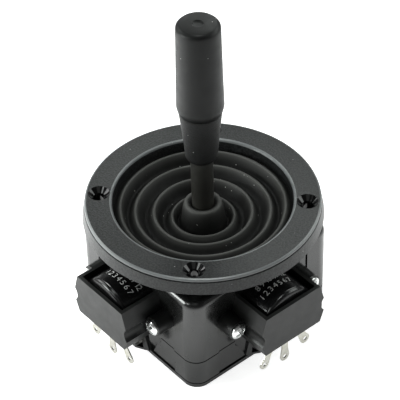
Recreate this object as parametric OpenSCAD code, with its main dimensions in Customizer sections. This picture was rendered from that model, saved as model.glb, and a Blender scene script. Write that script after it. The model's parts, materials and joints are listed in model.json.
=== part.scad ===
// Two-axis industrial joystick for panel mounting.
// The origin is the centre of the bezel's underside, where it meets the panel, and +Z points up along the lever.
// The lever stands in a gimbal. A slotted bail follows its tail, and one potentiometer reads each axis.

/* [Bezel] */
// Diameter of the bezel's top edge
bezel_top_d = 90; // [86:1:96]
// Diameter of the bezel's lower rim
bezel_rim_d = 92; // [90:1:100]
// Height of the bezel above the panel
bezel_h = 7; // [6:0.5:9]
// Diameter of the round well that the lever stands in
well_d = 68.8; // [66:0.4:69.6]
// Distance between neighbouring panel screws
screw_spacing = 56; // [55:0.5:57]
// Diameter of the panel screw holes
panel_hole_d = 4.4; // [4:0.1:4.8]
// Diameter of the countersinks in the bezel
countersink_d = 8.2; // [7.6:0.1:8.8]

/* [Body] */
// Width of the square body
body_w = 68.8; // [68:0.2:72]
// Radius of the body's upright corners
corner_r = 6; // [5:0.5:7]
// Radius along the body's top edge
shoulder_r = 3; // [2:0.5:4]
// Distance from the panel face down to the underside of the base
body_depth = 48.5; // [48:0.5:54]
// Distance from the panel face down to the body's roof, the thickest panel that fits
roof_gap = 4.6; // [3:0.2:5]
// Distance from the panel face down to the joint between the two housings
joint_drop = 35.6; // [35.6:0.2:37]
// Thickness of the housing walls
wall_t = 2.6; // [2.2:0.1:3]
// Thickness of the base plate
base_t = 1.6; // [1.2:0.1:2.4]
// Length of each corner pillar along a face
pillar_len = 12; // [11:0.5:14]
// How far the pillars stand proud of the faces between them
pillar_proud = 0.5; // [0.3:0.1:0.8]

/* [Lever] */
// Distance from the panel face down to the pivot axes
pivot_drop = 21; // [21:0.1:21.6]
// Tilt to each side, in degrees
tilt_limit = 20; // [15:1:20]
// Diameter of the lever shaft
shaft_d = 8.5; // [8:0.1:9]
// Room below the lever's tail
tail_room = 5; // [4:0.1:6]
// Diameter of the sleeve on the tail
sleeve_d = 5; // [4.6:0.1:5.2]

/* [Grip] */
// Height of the grip's lower end above the panel
grip_z = 27; // [24:0.5:32]
// Length of the grip
grip_len = 61; // [50:1:80]
// Diameter of the grip at its top
grip_top_d = 15.9; // [14:0.1:17]
// Largest diameter of the grip
grip_max_d = 17.7; // [17:0.1:20]
// Diameter of the grip at its lower end
grip_neck_d = 11.3; // [10.8:0.1:13]

/* [Boot] */
// Thickness of the rubber
boot_t = 1.1; // [0.8:0.1:1.4]
// Thickness of the rim held under the bezel
boot_rim_t = 1.5; // [1.2:0.1:2]

/* [Gimbal and bail] */
// Diameter of the stub shafts
stub_d = 6; // [5:0.1:6.4]
// Diameter of the lever's pivot pin
pin_d = 4; // [3.4:0.1:4.4]
// Room for a spring between the bail and its bushing
spring_room = 8; // [7.8:0.1:9]
// Thickness of the bail's bow
bow_t = 3; // [2.4:0.1:3.2]
// Width of the bail's bow
bow_w = 11; // [10:0.5:12]
// Diameter of the spring wire
wire_d = 1.2; // [1:0.1:1.3]
// Radial clearance of everything that runs on a shaft
running = 0.05; // [0.02:0.01:0.08]

/* [Potentiometers] */
// Diameter of the potentiometer's drum
drum_d = 26; // [25:0.2:26.6]
// Length of the drum
drum_len = 13.6; // [13:0.2:14]
// Distance between the two screws of a cover
cover_pitch = 37; // [36.6:0.1:38]
// How far the front of a cover stands from the housing
cover_depth = 17.3; // [16.6:0.1:18.4]
// Height of a cover's top edge above the pivot axis
cover_up = 9.5; // [9:0.1:10.5]
// Distance from the pivot axis down to a cover's lower edge
cover_down = 9; // [8.6:0.1:10]
// Thickness of a cover's walls
cover_t = 1.5; // [1.2:0.1:1.8]
// Diameter of a cover screw's head
head_d = 6; // [5.6:0.1:6.4]

/* [Hidden] */
$fn = 96;
eps = 0.01;

// Housing
half_w = body_w / 2;
face_w = half_w - pillar_proud;
inner_w = half_w - wall_t;
web_w = 5;
web_bite = 0.3;
base_z = -body_depth;
plate_top_z = base_z + base_t;
joint_z = -joint_drop;
pivot_z = -pivot_drop;
roof_z = -roof_gap;
post_r = 5.2;
post_at = screw_spacing / 2;
groove = 0.35;
groove_h = 0.5;
seam_w = 0.4;

// Neck, gate and the space under the boot
rim_bite = 1.2;
neck_r = well_d / 2 + rim_bite;
neck_wall = 5;
neck_inner_r = neck_r - neck_wall;
gate_t = 1.6;
gate_top_z = -8;
gate_seat_z = gate_top_z - gate_t;
ledge_r = 24;
ceiling_z = gate_seat_z - 2.4;
// In a corner the bail's true angle is a little more than the lever's own tilt
corner_tilt = atan(tan(tilt_limit) / cos(tilt_limit));
gate_gap = 0.5;
gate_half = (gate_top_z - pivot_z) * tan(corner_tilt) + shaft_d / 2 / cos(corner_tilt) + gate_gap;
gate_screw_in = 3.4;
gate_screw_r = neck_inner_r - gate_screw_in;
gate_screw_deep = 1;
gate_screw_slot = 0.6;

// Shafts and their bushings
stub_r = stub_d / 2;
bush_t = 2;
bush_r = stub_r + running + bush_t;
boss_len = 3.9;
bush_in = inner_w - boss_len;
bush_boss_r = bush_r + 3;

// Gimbal frame
frame_x = 13;
frame_y = 10;
frame_h = 8;
hub_r = 6;
hub_half = 4.8;
fork_gap = 0.2;
frame_in_x = 9;
frame_in_y = hub_half + fork_gap;
arm_in = frame_x + 1.5;
arm_t = 2.5;

// Bail
// The bow is as large as the room to the bushings and the room above the base let it be
yoke_lip = 1.5;
tail_past = 2.5;
bow_out = min(bush_in - spring_room - yoke_lip, pivot_z - plate_top_z - tail_room - tail_past);
bow_r = bow_out - bow_t;
tail_len = bow_out + tail_past;
slot_gap = 0.6;
slot_r = sleeve_d / 2 + slot_gap;
slot_half = bow_out * sin(tilt_limit) + slot_r;
yoke_in = bow_r;
yoke_out = bow_out + yoke_lip;
yoke_r = stub_r + 2.5;

// Centring springs, with a moving peg and a fixed pin between their legs
wire_r = wire_d / 2;
coil_r = stub_r + 1 + wire_r;
peg_r = 1.5;
peg_at = 8.6;
pin_at = 12;
leg_gap = 0.05;
leg_side = peg_r + wire_r + leg_gap;
leg_end = pin_at + peg_r + 0.8;
coil_pitch = wire_d + 0.12;
coil_x_turns = 6;
coil_y_turns = 4;
coil_end = bush_in - 2;
coil_x_from = coil_end - coil_pitch * coil_x_turns;
coil_y_from = coil_end - coil_pitch * coil_y_turns;

// Tail of the lever
sleeve_bore_r = 1.6;
sleeve_past = 2.5;
sleeve_from = bow_r - sleeve_past;
sleeve_len = bow_t + sleeve_past + 1.1;
clip_t = 0.6;
neck_rod_r = 2.4;

// Potentiometer, counted outward from the middle of the body
drum_r = drum_d / 2;
drum_from = face_w;
drum_to = drum_from + drum_len;
drum_wall = 2;
drum_back = 2.5;
drum_cap = 3.4;
rotor_gap = 0.8;
rotor_edge = 0.6;
rotor_t = 2;
track_r = drum_r - drum_wall;
track_from = drum_from + drum_back;
track_to = drum_to - drum_cap;
rotor_from = track_from + rotor_gap;
rotor_to = track_to - rotor_gap;
rotor_end = rotor_to + 0.5;
flat_from = rotor_from - 0.5;
tag_t = 0.5;
tag_back = 1.2;
tag_at = drum_to - tag_back;
tag_w = 4.4;
tag_root_w = 3;
tag_angle = 28;
tag_in = drum_r - drum_wall;
tag_reach = 11.2;
tag_out = drum_r + tag_reach;
tag_hole_r = 0.9;
fit_gap = 0.1;
// Foot under the drum, with slanting ends
foot_from = drum_from + 4.2;
foot_t = 1.2;
foot_slant = 2.7;
foot_low = drum_r + 5.4;
foot_high = drum_r - 8;
foot_w = 13.2;
foot_top_w = 11;
foot_mid_w = 8.2;

// Cover
front_z = face_w + cover_depth;
ear_x = cover_pitch / 2;
ear_r = 4;
ear_h = 7.1;
ear_top = face_w + ear_h;
scallop_r = 4.3;
scallop_drop = 0.8;
cover_top_w = drum_r + 0.4;
cover_mid_w = drum_r + 2.4;
cover_lobe_w = drum_r + 2.8;
cover_low_w = drum_r + 0.7;
cover_inner_w = drum_r + 0.25;
lobe_up = 2.6;
lobe_down = 3.5;
screw_r = 1.5;
head_h = 2;
cross_len = head_d * 0.6;
cross_w = head_d * 0.14;

// The frame of one face: local Z points out of the body along that face's pivot axis, and local Y points up
SIDE_Y_POT = 0;
SIDE_X_POT = 90;
SIDE_Y_SPRING = 180;
SIDE_X_SPRING = -90;
module on_face(side) { translate([0, 0, pivot_z]) rotate([90, 0, side]) children(); }
module at_corners(d) { for (x = [-1, 1], y = [-1, 1]) translate([x * d, y * d, 0]) children(); }
module tube(r_out, r_in, z0, z1) {
    translate([0, 0, z0]) difference() {
        cylinder(r = r_out, h = z1 - z0);
        translate([0, 0, -1]) cylinder(r = r_in, h = z1 - z0 + 2);
    }
}
module rod(r, z0, z1) { translate([0, 0, z0]) cylinder(r = r, h = z1 - z0); }

// ---------------------------------------------------------------- bezel and boot

module bezel_profile() {
    lip = 0.8;
    line_z = bezel_h - 1.1;
    polygon([[well_d / 2, boot_rim_t], [well_d / 2, bezel_h - lip], [well_d / 2 + lip * 0.3, bezel_h - lip * 0.3],
             [well_d / 2 + lip, bezel_h], [bezel_top_d / 2 - lip, bezel_h],
             [bezel_top_d / 2 - lip * 0.3, bezel_h - lip * 0.25], [bezel_top_d / 2, bezel_h - lip],
             [bezel_top_d / 2, line_z], [bezel_top_d / 2 - 0.35, line_z - 0.15],
             [bezel_top_d / 2 - 0.35, line_z - 0.45], [bezel_top_d / 2 + 0.15, line_z - 0.6],
             [bezel_rim_d / 2, 0.6], [bezel_rim_d / 2 - 0.5, 0], [neck_r + fit_gap, 0],
             [neck_r + fit_gap, boot_rim_t]]);
}
module bezel() {
    sink = (countersink_d - panel_hole_d) / 2;
    color("dimgray") difference() {
        rotate_extrude($fn = 180) bezel_profile();
        at_corners(post_at) {
            translate([0, 0, -1]) cylinder(d = panel_hole_d, h = bezel_h + 2, $fn = 48);
            translate([0, 0, bezel_h - sink])
                cylinder(d1 = panel_hole_d, d2 = countersink_d + 2 * eps, h = sink + eps, $fn = 48);
        }
    }
}

// The boot has a collar on the lever, then ridges and valleys spread evenly out to its rim
collar_r = shaft_d / 2 + running;
collar_top_z = 4.9;
collar_out = collar_r + 2.9;
collar_foot_r = collar_out + 2.3;
boot_out_r = well_d / 2 - 2.5;
ridge_round = 0.7;
// Heights of the rubber's upper surface, from the first valley outward
FOLD_TOPS = [-4.8, -1.6, -3.9, 0.8, -2.2, 1.5, -0.6, 4.1];
FOLD_AT = [0, 0.115, 0.27, 0.43, 0.585, 0.745, 0.875, 1];
function fold_r(i) = collar_foot_r + (boot_out_r - collar_foot_r) * FOLD_AT[i];
function fold_line(r_shift, z_shift) = [for (i = [0:len(FOLD_TOPS) - 1], side = [-1, 0, 1])
    let(r = fold_r(i), bend = i % 2 == 0 ? 0.3 : -0.35)
    [r + side * ridge_round + r_shift, FOLD_TOPS[i] + (side == 0 ? 0 : bend) + z_shift]];
module boot_profile() {
    last = len(FOLD_TOPS) - 1;
    upper = concat([[collar_r, collar_top_z - 1.3], [collar_r + 0.9, collar_top_z - 0.9],
                    [collar_out - 1, collar_top_z], [collar_out - 0.2, collar_top_z - 0.1],
                    [collar_out, collar_top_z - 0.5]],
        fold_line(0, 0), [[well_d / 2 - 0.4, boot_rim_t + 0.8], [well_d / 2 - 0.2, boot_rim_t], [neck_r, boot_rim_t],
        [neck_r, 0], [neck_inner_r + 0.6, 0], [fold_r(last) - 0.8, 0.6]]);
    lower = [for (p = fold_line(0, -boot_t)) if (p[0] > collar_foot_r && p[0] < boot_out_r - 1) p];
    polygon(concat(upper, [for (i = [len(lower) - 1:-1:0]) lower[i]],
        [[collar_foot_r - 1, FOLD_TOPS[0] - boot_t], [collar_out - boot_t, collar_top_z - 4.5],
         [collar_r + boot_t, collar_top_z - 7.4], [collar_r, collar_top_z - 7.4]]));
}
module boot() {
    color([0.1, 0.1, 0.1]) rotate_extrude($fn = 120) boot_profile();
}

// ---------------------------------------------------------------- housings

// Half of an upright section with a rounded top outer edge
module edge_profile(r, z0, z1, round_r) {
    translate([0, z0]) square([r, z1 - round_r - z0]);
    translate([0, z0]) square([r - round_r, z1 - z0]);
    translate([r - round_r, z1 - round_r]) circle(r = round_r, $fn = 64);
}
module rounded_body(half, z0, z1, round_r) {
    straight = half - corner_r;
    at_corners(straight) rotate_extrude() intersection() {
        edge_profile(corner_r, z0, z1, round_r);
        translate([0, z0]) square([corner_r, z1 - z0]);
    }
    for (side = [0, 90, 180, 270]) rotate([0, 0, side]) {
        translate([-straight, 0, 0]) rotate([90, 0, 90]) linear_extrude(2 * straight)
            edge_profile(half, z0, z1, round_r);
    }
}
module rounded_slab(half, r, z0, z1) {
    at_corners(half - r) rod(r, z0, z1);
    for (side = [0, 90]) rotate([0, 0, side])
        translate([-half, -(half - r), z0]) cube([2 * half, 2 * (half - r), z1 - z0]);
}
// Shallow recess between the corner pillars, on all four faces
module face_recesses(z0, z1) {
    reach = half_w - pillar_len;
    for (side = [0:90:270]) rotate([0, 0, side])
        translate([-reach, face_w, z0]) cube([2 * reach, pillar_proud + 1, z1 - z0]);
    for (side = [0:90:270], x = [-reach, reach - seam_w]) rotate([0, 0, side])
        translate([x, face_w - groove, z0]) cube([seam_w, groove + 1, z1 - z0]);
}
// Screw post in each corner, with a web to either wall
module corner_posts(z0, z1) {
    at_corners(post_at) rod(post_r, z0, z1);
    for (side = [0:90:270], x = [-1, 1]) rotate([0, 0, side])
        translate([x * post_at - web_w / 2, post_at, z0]) cube([web_w, inner_w + web_bite - post_at, z1 - z0]);
}
// Recess in a face behind the lower half of a potentiometer
module foot_recess(side) {
    low = pivot_z - plate_top_z;
    on_face(side) translate([0, 0, face_w - recess_t]) linear_extrude(recess_t + 1)
        polygon([[-13.9, -11.5], [-13.9, -16.6], [-12.5, -18], [-8, -low - 1], [8, -low - 1], [12.5, -18],
                 [13.9, -16.6], [13.9, -11.5]]);
}
recess_t = 1;
// Narrow line cut around the body at a height
module line_cut(z) {
    difference() {
        translate([-half_w - 1, -half_w - 1, z]) cube([body_w + 2, body_w + 2, groove_h]);
        rounded_slab(face_w - groove, corner_r - pillar_proud - groove, z - 1, z + groove_h + 1);
    }
}
module upper_housing() {
    cavity_r = corner_r - wall_t;
    color([0.16, 0.16, 0.17]) difference() {
        union() {
            difference() {
                union() {
                    rounded_body(half_w, joint_z, roof_z, shoulder_r);
                    rod(face_w, roof_z - shoulder_r, roof_z + eps);
                    rod(neck_r, roof_z, 0);
                }
                rounded_slab(inner_w, cavity_r, joint_z - 1, ceiling_z);
                rod(neck_inner_r, gate_seat_z, 1);
                rod(ledge_r, ceiling_z - 1, gate_seat_z + 1);
                face_recesses(joint_z - 1, roof_z - shoulder_r);
            }
            corner_posts(joint_z, ceiling_z + 1);
            for (side = [0:90:270]) on_face(side) rod(bush_boss_r, bush_in, inner_w + 1);
            for (side = [SIDE_X_POT, SIDE_Y_POT], x = [-1, 1])
                on_face(side) translate([x * ear_x, 0, 0]) rod(screw_r + 1.6, bush_in, inner_w + 1);
            for (side = [SIDE_X_SPRING, SIDE_Y_SPRING])
                on_face(side) translate([0, -pin_at, 0]) rod(peg_r + 1.2, bush_in, inner_w + 1);
        }
        line_cut(joint_z - eps);
        foot_recess(SIDE_X_POT);
        foot_recess(SIDE_Y_POT);
        at_corners(post_at) {
            rod(panel_screw_pilot_r, roof_z - panel_screw_deep, roof_z + 1);
            rod(base_screw_pilot_r, joint_z - 1, joint_z + base_screw_deep);
        }
        at_corners(gate_screw_r / sqrt(2)) rod(gate_screw_pilot_r, ceiling_z - 1, gate_seat_z + 1);
        for (side = [0:90:270]) on_face(side) rod(bush_r, bush_in - 1, half_w + 1);
        for (side = [SIDE_X_POT, SIDE_Y_POT], x = [-1, 1])
            on_face(side) translate([x * ear_x, 0, 0]) rod(screw_r, bush_in - 1, half_w + 1);
        for (side = [SIDE_X_SPRING, SIDE_Y_SPRING])
            on_face(side) translate([0, -pin_at, 0]) rod(peg_r, bush_in - 1, half_w - wall_t + 2);
    }
}
panel_screw_pilot_r = 1.7;
panel_screw_deep = 18;
base_screw_deep = 8.6;
base_screw_pilot_r = 1.5;
gate_screw_pilot_r = 1.25;

module lower_housing() {
    color([0.16, 0.16, 0.17]) difference() {
        union() {
            difference() {
                rounded_slab(half_w, corner_r, plate_top_z, joint_z);
                rounded_slab(inner_w, corner_r - wall_t, plate_top_z - 1, joint_z + 1);
                face_recesses(plate_top_z - 1, joint_z + 1);
            }
            corner_posts(plate_top_z, joint_z);
        }
        line_cut(plate_top_z - eps);
        foot_recess(SIDE_X_POT);
        foot_recess(SIDE_Y_POT);
        at_corners(post_at) rod(base_screw_pilot_r + 0.2, plate_top_z - 1, joint_z + 1);
    }
}
base_head_r = 3;
module base_plate() {
    sink = base_head_r - base_screw_pilot_r;
    color([0.2, 0.2, 0.2]) difference() {
        rounded_slab(half_w, corner_r, base_z, plate_top_z);
        at_corners(post_at) {
            rod(base_screw_pilot_r + 0.2, base_z - 1, plate_top_z + 1);
            translate([0, 0, base_z - eps])
                cylinder(r1 = base_head_r + 0.2, r2 = base_screw_pilot_r + 0.2, h = sink, $fn = 48);
        }
    }
}
module base_screws() {
    sink = base_head_r - base_screw_pilot_r;
    color("silver") at_corners(post_at) difference() {
        union() {
            rod(base_screw_pilot_r, base_z + 0.1, joint_z + base_screw_deep - 1.6);
            translate([0, 0, base_z + 0.1]) cylinder(r1 = base_head_r, r2 = base_screw_pilot_r, h = sink, $fn = 48);
        }
        for (turn = [0, 90]) rotate([0, 0, turn])
            translate([-1.7, -0.35, base_z - 1]) cube([3.4, 0.7, 1.9]);
    }
}
module gate_plate() {
    sink = gate_screw_deep;
    color("silver") difference() {
        rod(neck_inner_r - fit_gap, gate_seat_z, gate_top_z);
        translate([-gate_half, -gate_half, gate_seat_z - 1]) cube([2 * gate_half, 2 * gate_half, gate_t + 2]);
        at_corners(gate_screw_r / sqrt(2)) {
            rod(gate_screw_pilot_r + 0.15, gate_seat_z - 1, gate_top_z + 1);
            translate([0, 0, gate_top_z - sink])
                cylinder(r1 = gate_screw_pilot_r + 0.15, r2 = gate_screw_pilot_r + sink + 0.15, h = sink + eps,
                         $fn = 48);
        }
    }
}
module gate_screws() {
    sink = gate_screw_deep;
    slot_len = 2 * (gate_screw_pilot_r + gate_screw_slot / 2) - 0.5;
    color("gainsboro") at_corners(gate_screw_r / sqrt(2)) difference() {
        union() {
            rod(gate_screw_pilot_r, ceiling_z - gate_screw_deep, gate_top_z);
            translate([0, 0, gate_top_z - sink])
                cylinder(r1 = gate_screw_pilot_r, r2 = gate_screw_pilot_r + sink, h = sink, $fn = 48);
        }
        for (turn = [0, 90]) rotate([0, 0, turn])
            translate([-slot_len / 2, -gate_screw_slot / 2, gate_top_z - 0.8 * sink])
                cube([slot_len, gate_screw_slot, 2 * sink]);
    }
}

// ---------------------------------------------------------------- bearings, gimbal and bail

module bushing(closed) {
    difference() {
        rod(bush_r, bush_in, face_w);
        rod(stub_r + running, bush_in - 1, closed ? face_w - 1.2 : face_w + 1);
    }
}
module bushings_x() {
    color("tan") on_face(SIDE_X_POT) bushing(false);
    color("tan") on_face(SIDE_X_SPRING) bushing(true);
}
module bushings_y() {
    color("tan") on_face(SIDE_Y_POT) bushing(false);
    color("tan") on_face(SIDE_Y_SPRING) bushing(true);
}
module spring_pins() {
    color("silver") on_face(SIDE_X_SPRING) translate([0, -pin_at, 0])
        rod(peg_r, arm_in + arm_t + 0.6, inner_w + 2);
    color("silver") on_face(SIDE_Y_SPRING) translate([0, -pin_at, 0])
        rod(peg_r, yoke_out + 0.6, inner_w + 2);
}
module gimbal_frame() {
    arm_down = peg_at + peg_r + 1;
    arm_w = 2 * peg_r + 4;
    coil_x_to = coil_x_from + coil_pitch * coil_x_turns;
    color([0.75, 0.76, 0.78]) {
        difference() {
            union() {
                translate([-frame_x, -frame_y, pivot_z - frame_h / 2]) cube([2 * frame_x, 2 * frame_y, frame_h]);
                on_face(SIDE_X_SPRING) {
                    rod(stub_r + 2.5, frame_x - 1, arm_in + arm_t);
                    translate([-arm_w / 2, -arm_down, arm_in]) cube([arm_w, arm_down, arm_t]);
                    translate([0, -peg_at, 0]) rod(peg_r, arm_in, coil_x_to + 1.2);
                }
            }
            translate([-frame_in_x, -frame_in_y, pivot_z - frame_h])
                cube([2 * frame_in_x, 2 * frame_in_y, 2 * frame_h]);
            on_face(SIDE_Y_POT) rod(pin_d / 2, -frame_y - 1, frame_y + 1);
            on_face(SIDE_X_POT) rod(stub_r, -(arm_in + arm_t) - 1, frame_x + 1);
        }
    }
}
// A stub shaft with a flat near its outer end where a rotor sits on it
module stub_shaft(from, to, flat_from) {
    difference() {
        rod(stub_r, from, to);
        if (flat_from < to) translate([stub_r * 0.6, -stub_r - 1, flat_from])
            cube([stub_r, 2 * stub_r + 2, to - flat_from + 1]);
    }
}
module gimbal_shafts() {
    color("silver") on_face(SIDE_X_POT) stub_shaft(frame_in_x + 0.2, rotor_end, flat_from);
    color("silver") on_face(SIDE_X_SPRING) stub_shaft(frame_in_x + 0.2, face_w - 1.6, face_w);
}
module pivot_pin() {
    color("silver") on_face(SIDE_Y_POT) rod(pin_d / 2, -frame_y, frame_y);
}
module bail() {
    peg_to = coil_y_from + coil_pitch * coil_y_turns + 1.2;
    lug_down = peg_at + peg_r + 1;
    color([0.75, 0.76, 0.78]) difference() {
        union() {
            difference() {
                on_face(SIDE_X_POT) rod(bow_out, -bow_w / 2, bow_w / 2);
                on_face(SIDE_X_POT) rod(bow_r, -bow_w, bow_w);
                translate([-bow_w, -bow_out - 1, pivot_z]) cube([2 * bow_w, 2 * bow_out + 2, bow_out + 1]);
            }
            for (side = [SIDE_Y_POT, SIDE_Y_SPRING]) on_face(side) rod(yoke_r, yoke_in, yoke_out);
            on_face(SIDE_Y_SPRING) {
                translate([-peg_r - 2, -lug_down, yoke_out - arm_t]) cube([2 * peg_r + 4, lug_down, arm_t]);
                translate([0, -peg_at, 0]) rod(peg_r, yoke_out - arm_t, peg_to);
            }
        }
        for (side = [SIDE_Y_POT, SIDE_Y_SPRING]) on_face(side) rod(stub_r, yoke_in - 1, yoke_out + 1);
        translate([-slot_r, -slot_half, pivot_z - bow_out - 1]) cube([2 * slot_r, 2 * slot_half, bow_out]);
    }
}
module bail_shafts() {
    color("silver") on_face(SIDE_Y_POT) stub_shaft(yoke_in + 0.2, rotor_end, flat_from);
    color("silver") on_face(SIDE_Y_SPRING) stub_shaft(yoke_in + 0.2, face_w - 1.6, face_w);
}

// Wire of a torsion spring: down-pointing leg, coil along local Z, second leg
function coil_point(t, turns) = [coil_r * cos(360 * t), coil_r * sin(360 * t), coil_pitch * t];
function spring_path(turns, steps) = concat(
    [[leg_side, -leg_end, 0], [leg_side, -peg_at + 1.4, 0]],
    [for (k = [0:steps]) coil_point(k * turns / steps, turns)],
    [[-leg_side, -peg_at + 1.4, coil_pitch * turns], [-leg_side, -leg_end, coil_pitch * turns]]);
function unit(v) = v / norm(v);
function ring_at(path, i, sides) = let(
    ahead = path[min(i + 1, len(path) - 1)] - path[max(i - 1, 0)],
    along = unit(ahead),
    flat = unit(cross(along, [0, 0, 1])),
    third = cross(along, flat))
    [for (k = [0:sides - 1]) path[i] + wire_r * (cos(360 * k / sides) * flat + sin(360 * k / sides) * third)];
module swept_wire(path, sides) {
    count = len(path);
    points = [for (i = [0:count - 1]) each ring_at(path, i, sides)];
    skin = [for (i = [0:count - 2], k = [0:sides - 1]) let(n = (k + 1) % sides)
        [i * sides + k, (i + 1) * sides + k, (i + 1) * sides + n, i * sides + n]];
    ends = [[for (k = [0:sides - 1]) k], [for (k = [sides - 1:-1:0]) (count - 1) * sides + k]];
    polyhedron(points, concat(skin, ends), convexity = 8);
}
module torsion_spring(turns) {
    // half a turn more brings the second leg out on the other side
    swept_wire(spring_path(turns + 0.5, round(16 * turns + 8)), 8);
}
module centring_spring_x() {
    color("gray") on_face(SIDE_X_SPRING) translate([0, 0, coil_x_from]) torsion_spring(coil_x_turns - 1);
}
module centring_spring_y() {
    color("gray") on_face(SIDE_Y_SPRING) translate([0, 0, coil_y_from]) torsion_spring(coil_y_turns - 1);
}

// ---------------------------------------------------------------- lever and grip

core_len = 34;
shaft_top_z = grip_z + core_len;
insert_r = shaft_d / 2 + 1.2;
insert_from = grip_z + 10;
insert_len = 20;
module lever_shaft() {
    color([0.2, 0.18, 0.17]) difference() {
        union() {
            rod(shaft_d / 2, pivot_z, grip_z + 8);
            rod(shaft_d / 2 - 0.8, grip_z + 8 - eps, shaft_top_z);
            on_face(SIDE_Y_POT) rod(hub_r, -hub_half, hub_half);
            rod(neck_rod_r, pivot_z - sleeve_from, pivot_z);
            rod(sleeve_bore_r - running, pivot_z - tail_len, pivot_z - sleeve_from + 1);
        }
        on_face(SIDE_Y_POT) rod(pin_d / 2 + running, -hub_half - 1, hub_half + 1);
    }
}
module tail_sleeve() {
    color([0.9, 0.9, 0.86])
        tube(sleeve_d / 2, sleeve_bore_r, pivot_z - sleeve_from - sleeve_len, pivot_z - sleeve_from - 0.1);
}
module tail_clip() {
    top = pivot_z - sleeve_from - sleeve_len - 0.1;
    color("silver") tube(sleeve_d / 2 - 0.1, sleeve_bore_r - running, top - clip_t, top);
}
module grip_profile() {
    r_top = grip_top_d / 2;
    r_max = grip_max_d / 2;
    r_neck = grip_neck_d / 2;
    top = grip_z + grip_len;
    edge = 1.5;
    polygon(concat(
        [[0, grip_z], [r_neck - 0.5, grip_z], [r_neck, grip_z + 0.5], [r_neck, grip_z + 1.6],
         [r_max - 0.35, grip_z + grip_len * 0.32], [r_max, grip_z + grip_len * 0.37],
         [r_max, grip_z + grip_len * 0.43]],
        [for (a = [0:15:90]) [r_top - edge + edge * cos(a), top - edge + edge * sin(a)]],
        [[0, top]]));
}
module grip() {
    dimple_r = 1.85;
    color([0.12, 0.12, 0.12]) difference() {
        rotate_extrude() grip_profile();
        rod(shaft_d / 2 + fit_gap, grip_z - 1, grip_z + 8 + fit_gap);
        rod(shaft_d / 2 - 0.8 + fit_gap, grip_z + 7, shaft_top_z + 0.5);
        rod(insert_r, insert_from, insert_from + insert_len);
        translate([0, 0, grip_z + grip_len - 0.6]) cylinder(r1 = dimple_r - 0.4, r2 = dimple_r, h = 0.6 + eps);
    }
}
module grip_insert() {
    color("gold") tube(insert_r, shaft_d / 2 - 0.8, insert_from, insert_from + insert_len);
}

// ---------------------------------------------------------------- potentiometers

module tag_outline() {
    end = tag_out - tag_w / 2;
    half = tag_root_w / 2;
    rounded_end = [for (a = [180:12:360]) [tag_w / 2 * cos(a), tag_w / 2 * sin(a) - end]];
    for (turn = [-tag_angle, 0, tag_angle]) rotate(turn) difference() {
        polygon(concat([[-half, -tag_in], [-half, tag_w - end]], rounded_end, [[half, tag_w - end], [half, -tag_in]]));
        translate([0, -end]) circle(r = tag_hole_r, $fn = 24);
    }
}
module tag_slots() {
    for (turn = [-tag_angle, 0, tag_angle]) rotate(turn)
        translate([-tag_root_w / 2 - fit_gap, -tag_out])
            square([tag_root_w + 2 * fit_gap, tag_out - tag_in + fit_gap]);
}
// Foot of the potentiometer: slanting ends seen from above, widening downward seen from the front
module pot_foot() {
    plan = [[-foot_w, foot_from], [foot_w, foot_from], [foot_w, foot_from + foot_t],
            [foot_mid_w, foot_from + foot_t + foot_slant], [-foot_mid_w, foot_from + foot_t + foot_slant],
            [-foot_w, foot_from + foot_t]];
    difference() {
        intersection() {
            rotate([90, 0, 0]) linear_extrude(foot_low) polygon(plan);
            linear_extrude(drum_to) polygon([[-foot_top_w, -foot_high], [-foot_w, -foot_low], [foot_w, -foot_low],
                                             [foot_top_w, -foot_high]]);
        }
        for (x = [-1, 1]) translate([0, 0, foot_from + foot_t / 2]) linear_extrude(foot_t + foot_slant)
            polygon([[x * (foot_w - 2.2), -foot_low + 4], [x * (foot_w - 2), -foot_low + 1],
                     [x * (foot_mid_w + 0.4), -foot_low + 1.1]]);
    }
}
module pot_body() {
    chamfer = 0.5;
    difference() {
        union() {
            rotate_extrude() polygon([[0, drum_from], [drum_r, drum_from], [drum_r, drum_to - chamfer],
                                      [drum_r - chamfer, drum_to], [0, drum_to]]);
            pot_foot();
        }
        rod(track_r, track_from, track_to);
        rod(stub_r + rotor_edge, drum_from - 1, track_from + 1);
        translate([0, 0, tag_at - fit_gap]) linear_extrude(tag_t + 2 * fit_gap) tag_slots();
    }
}
module pot_rotor() {
    difference() {
        union() {
            rod(track_r - 2 * rotor_edge, rotor_from, rotor_from + rotor_t);
            rod(stub_r + rotor_t, rotor_from, rotor_to);
        }
        stub_shaft(rotor_from - rotor_t, rotor_to + rotor_t, rotor_from - rotor_t);
    }
}
module pot_terminals() { translate([0, 0, tag_at]) linear_extrude(tag_t) tag_outline(); }

// One side of a cover's outline seen from the front: walls widen to the ears and close in again below
function cover_side(top_w, mid_w, lobe_w, low_w) = [[top_w, cover_up], [mid_w, lobe_up], [lobe_w, -lobe_down],
                                                    [low_w, -cover_down]];
module cover_outline(side) {
    polygon(concat(side, [for (i = [len(side) - 1:-1:0]) [-side[i][0], side[i][1]]]));
}
module pot_cover() {
    difference() {
        union() {
            translate([0, 0, face_w]) linear_extrude(cover_depth)
                cover_outline(cover_side(cover_top_w, cover_mid_w, cover_lobe_w, cover_low_w));
            for (x = [-1, 1]) translate([x * ear_x, 0, 0]) rod(ear_r, face_w, ear_top);
        }
        translate([0, 0, face_w - 1]) linear_extrude(cover_depth - cover_t + 1) intersection() {
            translate([-cover_inner_w, -cover_down - 1]) square([2 * cover_inner_w, cover_up + cover_down + 2]);
            scale([1, 1.02]) cover_outline(cover_side(cover_top_w - cover_t, cover_inner_w, cover_inner_w,
                                                      cover_low_w - cover_t));
        }
        for (x = [-1, 1]) {
            translate([x * ear_x, -scallop_drop, 0]) rod(scallop_r, ear_top, front_z + 1);
            translate([x * ear_x, 0, 0]) rod(screw_r + 0.1, face_w - 1, ear_top + 1);
        }
    }
}
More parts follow.
